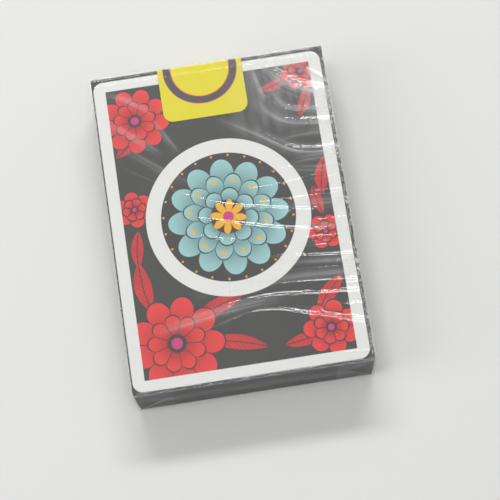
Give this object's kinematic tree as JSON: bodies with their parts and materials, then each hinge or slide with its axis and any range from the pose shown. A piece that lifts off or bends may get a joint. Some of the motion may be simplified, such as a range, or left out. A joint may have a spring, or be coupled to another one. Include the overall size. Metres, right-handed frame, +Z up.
{
  "type": "playing card deck",
  "caption": "Deck of playing cards in a printed tuck case with a paper seal over its lid and a clear film overwrap.",
  "frame": {"origin": "on the surface that the pack lies on, under the middle of its back", "axes": "+Z up through the printed front, +Y towards the end that opens, +X to the right of the printed front"},
  "size_m": [0.0668, 0.093, 0.0194],
  "materials": {
    "case_board": "smooth printed board, black with a pale rounded frame and ring",
    "card_stock": "smooth linen-finish card",
    "seal_paper": "matt coated paper, yellow with a dark grey ring",
    "film": "clear, glossy and slightly wrinkled"
  },
  "bodies": {
    "case": {"case_body": "case_board", "seal_front": "seal_paper"},
    "lid": {"lid_panel": "case_board", "seal_lid": "seal_paper"},
    "tongue": {"tuck_tongue": "case_board"},
    "dust_flap_left": {"dust_flap_left": "case_board"},
    "dust_flap_right": {"dust_flap_right": "case_board"},
    "cards": {"card_01": "card_stock", "card_02": "card_stock", "card_03": "card_stock", "card_04": "card_stock", "card_05": "card_stock", "card_06": "card_stock", "card_07": "card_stock", "card_08": "card_stock", "card_09": "card_stock", "card_10": "card_stock", "card_11": "card_stock", "card_12": "card_stock", "card_13": "card_stock", "card_14": "card_stock", "card_15": "card_stock", "card_16": "card_stock", "card_17": "card_stock", "card_18": "card_stock", "card_19": "card_stock", "card_20": "card_stock", "card_21": "card_stock", "card_22": "card_stock", "card_23": "card_stock", "card_24": "card_stock", "card_25": "card_stock", "card_26": "card_stock", "card_27": "card_stock", "card_28": "card_stock", "card_29": "card_stock", "card_30": "card_stock", "card_31": "card_stock", "card_32": "card_stock", "card_33": "card_stock", "card_34": "card_stock", "card_35": "card_stock", "card_36": "card_stock", "card_37": "card_stock", "card_38": "card_stock", "card_39": "card_stock", "card_40": "card_stock", "card_41": "card_stock", "card_42": "card_stock", "card_43": "card_stock", "card_44": "card_stock", "card_45": "card_stock", "card_46": "card_stock", "card_47": "card_stock", "card_48": "card_stock", "card_pair_49_50": "card_stock", "card_pair_51_52": "card_stock", "card_pair_53_54": "card_stock"},
    "film_top": {"wrap_cap": "film"},
    "film_sleeve": {"wrap_sleeve": "film"}
  },
  "joints": [
    {"name": "lid_hinge", "type": "hinge", "parent": "case", "child": "lid", "pos_m": [0, 0.04553, 0.00035], "axis": [-1, 0, 0], "range_deg": [0, 90]},
    {"name": "tongue_crease", "type": "hinge", "parent": "lid", "child": "tongue", "pos_m": [0, 0.04523, 0.01803], "axis": [-1, 0, 0], "range_deg": [-41, 0]},
    {"name": "dust_flap_left_crease", "type": "hinge", "parent": "case", "child": "dust_flap_left", "pos_m": [-0.0331, 0.04492, 0.009], "axis": [0, 0, 1], "range_deg": [0, 31]},
    {"name": "dust_flap_right_crease", "type": "hinge", "parent": "case", "child": "dust_flap_right", "pos_m": [0.0331, 0.04492, 0.009], "axis": [0, 0, -1], "range_deg": [0, 31]},
    {"name": "film_top_slide", "type": "slide", "parent": "case", "child": "film_top", "axis": [0, 1, 0], "range_m": [0, 0.048]},
    {"name": "film_sleeve_slide", "type": "slide", "parent": "case", "child": "film_sleeve", "axis": [0, -1, 0], "range_m": [0, 0.1]},
    {"name": "cards_slide", "type": "slide", "parent": "case", "child": "cards", "axis": [0, 1, 0], "range_m": [0, 0.0007]}
  ],
  "couplings": [
    {"joint": "tongue_crease", "follows": "lid_hinge", "ratio": -0.45},
    {"joint": "dust_flap_left_crease", "follows": "lid_hinge", "ratio": 0.3333},
    {"joint": "dust_flap_right_crease", "follows": "lid_hinge", "ratio": 0.3333},
    {"joint": "film_top_slide", "follows": "lid_hinge", "m_per_rad": 0.03}
  ]
}
